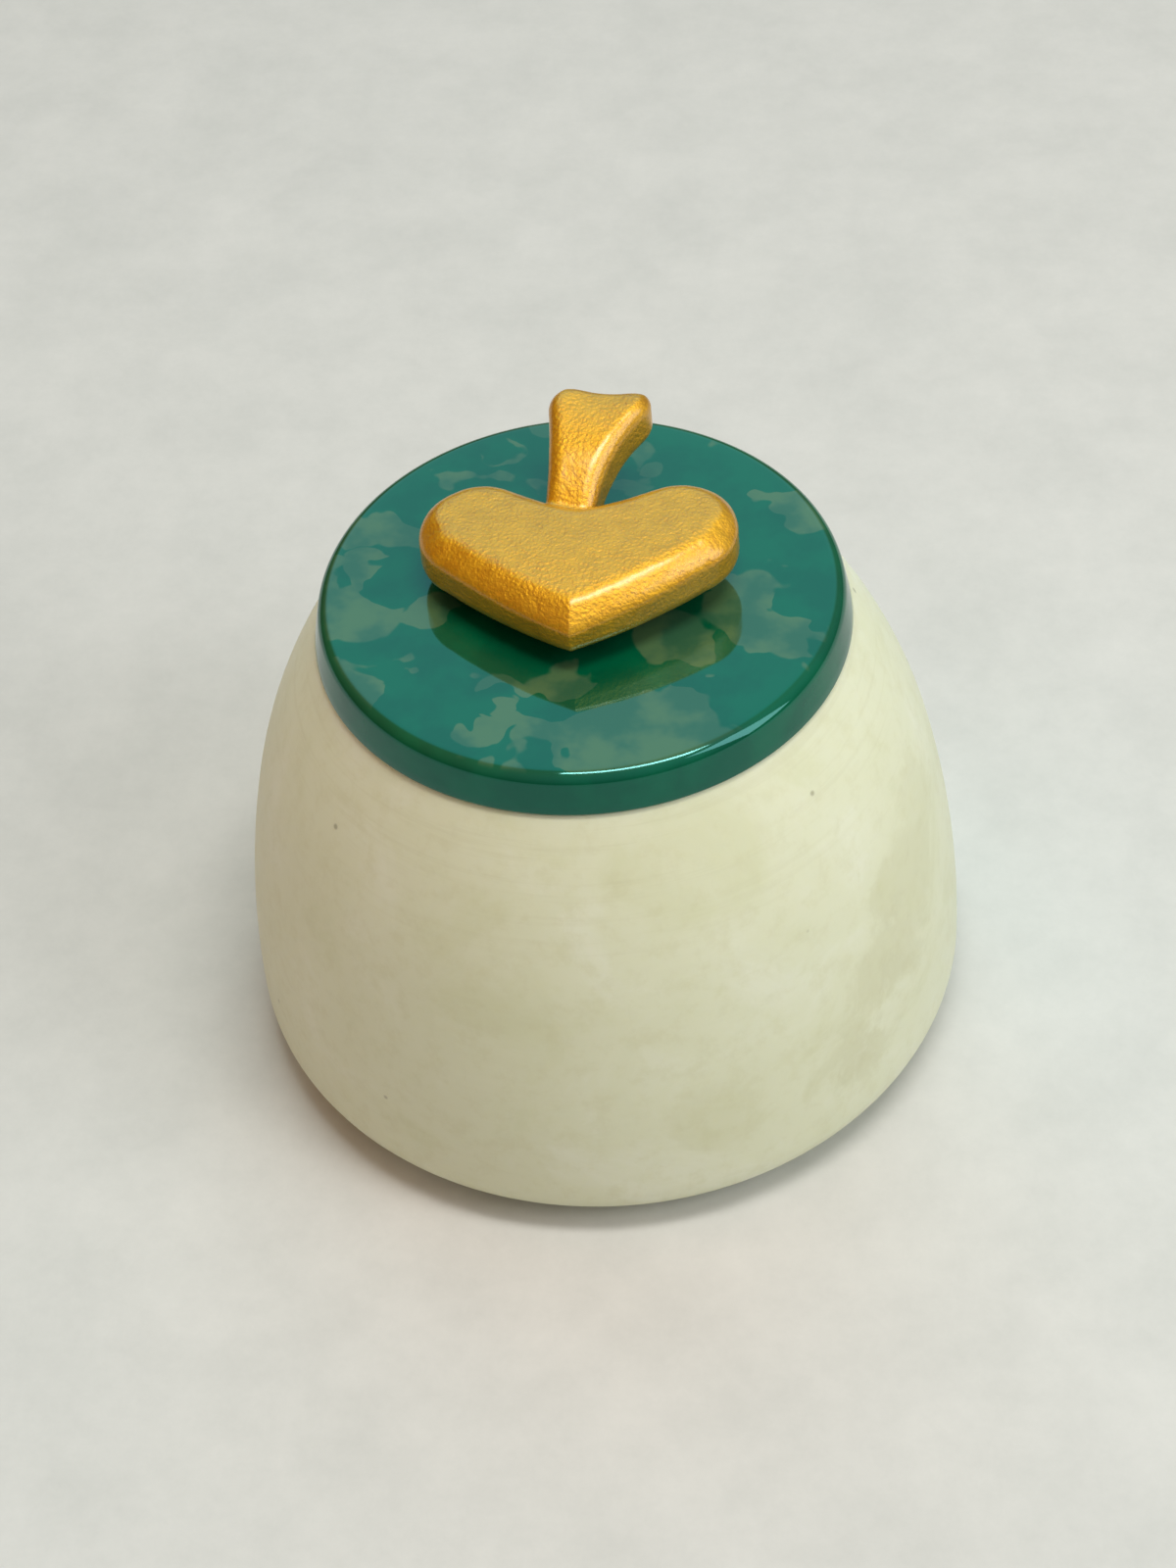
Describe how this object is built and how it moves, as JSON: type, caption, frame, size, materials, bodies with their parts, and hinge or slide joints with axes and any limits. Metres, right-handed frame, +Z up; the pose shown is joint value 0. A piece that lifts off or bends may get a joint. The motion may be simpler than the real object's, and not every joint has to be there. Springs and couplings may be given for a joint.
{
  "type": "trinket box",
  "caption": "Round dome-sided turned-stone trinket box with a lift-off polished green lid and a gilded heart-shaped knob with a flared tail.",
  "frame": {"origin": "centre of the underside of the base pad, on the surface that the box stands on", "axes": "+Z up through the knob, -Y towards the heart's tip (front), +Y towards the knob's tail, +X to the right"},
  "size_m": [0.0818, 0.0818, 0.0727],
  "materials": {
    "cream_stone": "turned and honed to a satin sheen, faint mottling",
    "plug_stone": "turned, left matt",
    "green_stone": "polished to a mirror gloss, mottled in two greens",
    "gilt_casting": "cast with a fine pebbled skin, gilded, satin",
    "liner_felt": "cut wool felt",
    "base_felt": "cut wool felt, self-adhesive",
    "washer_brass": "stamped, bright",
    "screw_steel": "bright zinc plated"
  },
  "bodies": {
    "box": {"stone_body": "cream_stone", "base_pad": "base_felt", "felt_liner": "liner_felt"},
    "lid": {"lid_disc": "green_stone", "lid_plug": "plug_stone", "knob": "gilt_casting", "knob_washer": "washer_brass", "knob_screw": "screw_steel"}
  },
  "joints": [
    {"name": "lid_lift", "type": "slide", "parent": "box", "child": "lid", "axis": [0, 0, 1], "range_m": [0, 0.06]}
  ]
}
